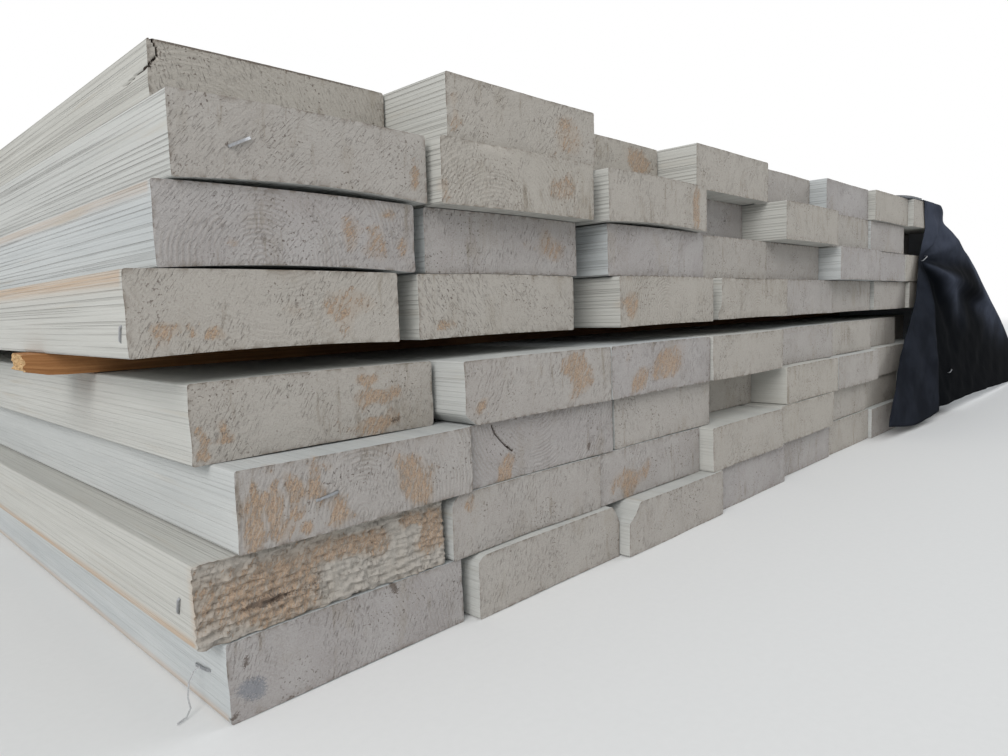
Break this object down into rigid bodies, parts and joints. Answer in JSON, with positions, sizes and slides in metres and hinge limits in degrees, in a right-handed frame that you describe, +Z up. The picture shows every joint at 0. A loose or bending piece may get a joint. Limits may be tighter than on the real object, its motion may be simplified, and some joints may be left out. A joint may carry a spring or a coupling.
{
  "type": "stack of lumber",
  "caption": "Rectangular stack of primed softwood boards in courses, with bare laths between the two lots and its wrap turned over one side, ending in a loose flap.",
  "frame": {"origin": "middle of the stack's underside, on the floor", "axes": "+X across the stack from its left face to its right face, +Y along the boards away from the near ends, +Z up"},
  "size_m": [1.7756, 3.764, 0.318],
  "materials": {
    "primed_board": "brushed primer over sawn softwood",
    "bare_lath": "rough sawn, bare",
    "lumber_wrap": "woven sheet, black inside and pale grey outside"
  },
  "bodies": {
    "root": {"course_1": "primed_board", "course_2": "primed_board", "course_3": "primed_board", "course_4": "primed_board", "course_5": "primed_board", "course_6": "primed_board", "course_7": "primed_board", "course_8": "primed_board", "spacers": "bare_lath", "wrap": "lumber_wrap"}
  },
  "joints": []
}
